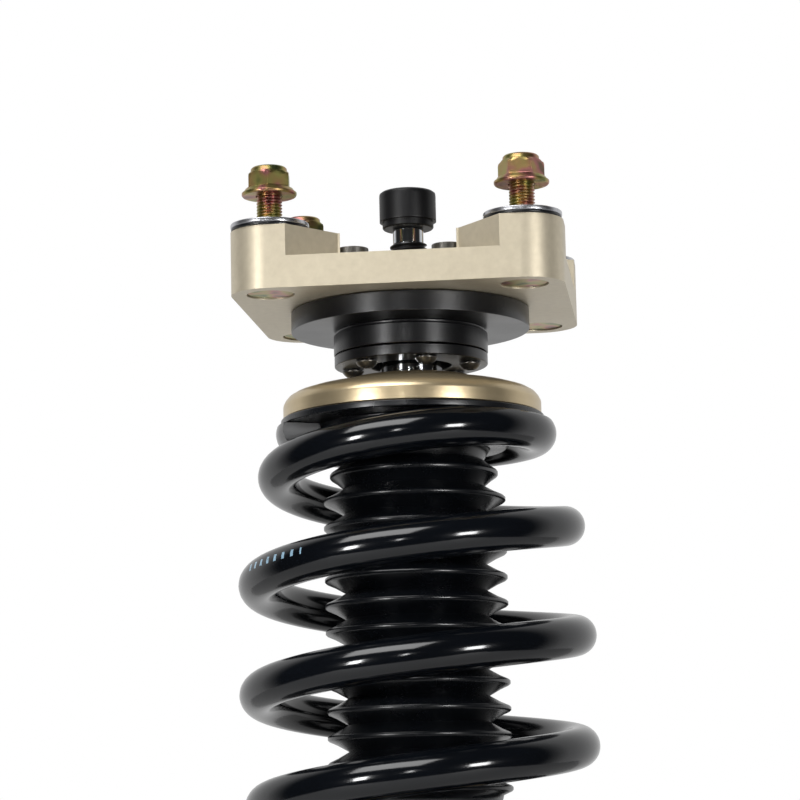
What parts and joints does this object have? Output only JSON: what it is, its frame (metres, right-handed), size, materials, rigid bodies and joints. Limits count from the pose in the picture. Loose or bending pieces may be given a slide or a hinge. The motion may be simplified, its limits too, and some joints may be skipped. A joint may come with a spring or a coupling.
{
  "type": "coilover",
  "caption": "Adjustable coilover: barrel spring round a gas damper, machined top mount with studs above, bushed eye below.",
  "frame": {"origin": "centre of the top mount, in the plane of the four boss tops that meet the strut tower", "axes": "+Z along the damper towards the tower, +Y along the bore of the lower eye, -Y is the front"},
  "size_m": [0.1128, 0.1124, 0.4475],
  "materials": {
    "champagne_anodised": "satin anodised",
    "black_anodised": "satin anodised",
    "black_powder": "gloss powder coat",
    "black_rubber": "semi-gloss",
    "black_oxide": "oiled black oxide",
    "yellow_zinc": "yellow passivated zinc",
    "bright_zinc": "bright zinc",
    "chrome": "hard chrome",
    "bearing_steel": "ground",
    "bump_foam": "matte"
  },
  "bodies": {
    "top_mount": {"mount_block": "champagne_anodised", "mount_stud_1": "yellow_zinc", "mount_stud_2": "yellow_zinc", "mount_stud_3": "yellow_zinc", "mount_stud_4": "yellow_zinc", "stud_washer_1": "bright_zinc", "stud_washer_2": "bright_zinc", "stud_washer_3": "bright_zinc", "stud_washer_4": "bright_zinc", "flange_nut_1": "yellow_zinc", "flange_nut_2": "yellow_zinc", "flange_nut_3": "yellow_zinc", "flange_nut_4": "yellow_zinc", "bearing_carrier": "black_anodised", "carrier_screw_1": "black_oxide", "carrier_screw_2": "black_oxide", "carrier_screw_3": "black_oxide", "carrier_screw_4": "black_oxide", "carrier_screw_5": "black_oxide", "carrier_screw_6": "black_oxide", "bearing_race": "bearing_steel", "bearing_retainer": "black_anodised", "retainer_screw_1": "black_oxide", "retainer_screw_2": "black_oxide", "retainer_screw_3": "black_oxide", "retainer_screw_4": "black_oxide", "retainer_screw_5": "black_oxide", "retainer_screw_6": "black_oxide"},
    "bearing": {"bearing_ball": "bearing_steel", "spacer_sleeve": "chrome"},
    "shaft": {"damper_shaft": "chrome", "shaft_nut": "black_oxide", "spring_seat": "champagne_anodised", "seat_isolator": "black_rubber", "bump_stop": "bump_foam", "main_piston": "bearing_steel", "piston_nut": "black_oxide", "coil_spring": "black_powder", "dust_boot": "black_rubber"},
    "adjuster": {"adjuster_knob": "black_anodised", "adjuster_rod": "chrome"},
    "damper": {"damper_body": "black_anodised", "gland_cap": "black_anodised", "bottom_plug": "bearing_steel"},
    "floater": {"floating_piston": "bearing_steel"},
    "perch": {"spring_perch": "champagne_anodised", "perch_lock_ring": "champagne_anodised"},
    "lower": {"lower_mount": "black_anodised", "body_lock_ring": "champagne_anodised", "eye_bush": "black_rubber"},
    "eye": {"eye_sleeve": "bright_zinc"}
  },
  "joints": [
    {"name": "bearing_tilt", "type": "hinge", "parent": "top_mount", "child": "bearing", "pos_m": [0, 0, -0.0283], "axis": [1, 0, 0], "range_deg": [-5, 5]},
    {"name": "bearing_swivel", "type": "hinge", "parent": "bearing", "child": "shaft", "pos_m": [0, 0, -0.0283], "axis": [0, 0, 1], "continuous": true},
    {"name": "adjuster_turn", "type": "hinge", "parent": "shaft", "child": "adjuster", "pos_m": [0, 0, 0], "axis": [0, 0, 1], "range_deg": [0, 540]},
    {"name": "stroke", "type": "slide", "parent": "shaft", "child": "damper", "axis": [0, 0, 1], "range_m": [0, 0.06], "stiffness_N_per_m": 88000, "springref_m": -0.002, "deforming": ["coil_spring", "dust_boot"]},
    {"name": "gas_piston", "type": "slide", "parent": "damper", "child": "floater", "axis": [0, 0, -1], "range_m": [0, 0.0067]},
    {"name": "perch_height", "type": "slide", "parent": "damper", "child": "perch", "axis": [0, 0, 1], "range_m": [-0.03, 0]},
    {"name": "mount_height", "type": "slide", "parent": "damper", "child": "lower", "axis": [0, 0, 1], "range_m": [-0.02, 0]},
    {"name": "eye_turn", "type": "hinge", "parent": "lower", "child": "eye", "pos_m": [0, 0, -0.407], "axis": [0, 1, 0], "range_deg": [-12, 12], "stiffness_Nm_per_rad": 8}
  ],
  "couplings": [
    {"joint": "gas_piston", "follows": "stroke", "ratio": 0.111}
  ]
}
